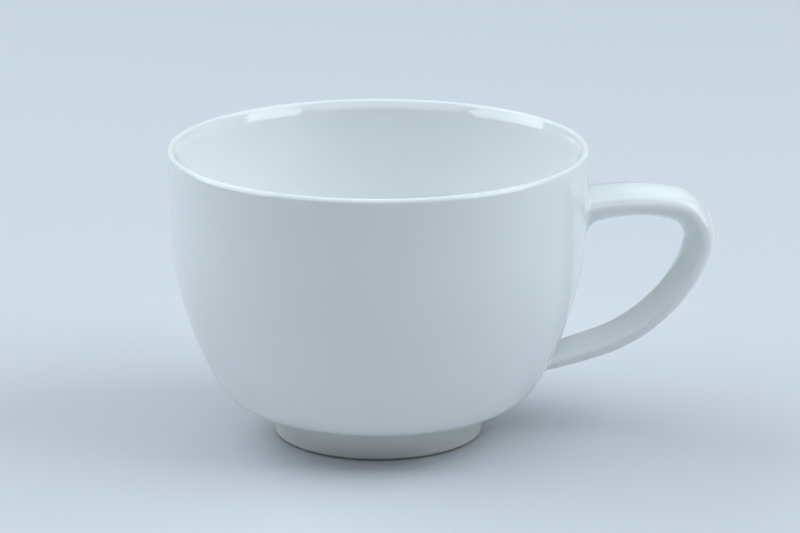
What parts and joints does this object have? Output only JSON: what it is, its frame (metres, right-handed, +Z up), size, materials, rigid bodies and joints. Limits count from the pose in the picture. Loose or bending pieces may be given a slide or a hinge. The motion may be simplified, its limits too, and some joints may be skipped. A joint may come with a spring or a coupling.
{
  "type": "cappuccino cup",
  "caption": "Low round coffee cup with a near-upright wall, a tight heel, a narrow foot ring and a tapering strap handle, for a cappuccino.",
  "frame": {"origin": "centre of the foot's standing rim, on the table plane, on the cup's axis", "axes": "+Z up along the cup's axis, +X out along the handle, +Y to the left of the handle seen from above with the handle pointing away"},
  "size_m": [0.1169, 0.09, 0.0628],
  "materials": {
    "glazed_porcelain": "glossy clear glaze",
    "foot_porcelain": "glossy clear glaze, bare and ground on the standing rim"
  },
  "bodies": {
    "root": {"bowl": "glazed_porcelain", "foot_ring": "foot_porcelain", "foot_joint": "glazed_porcelain", "handle": "glazed_porcelain", "upper_joint": "glazed_porcelain", "lower_joint": "glazed_porcelain"}
  },
  "joints": []
}
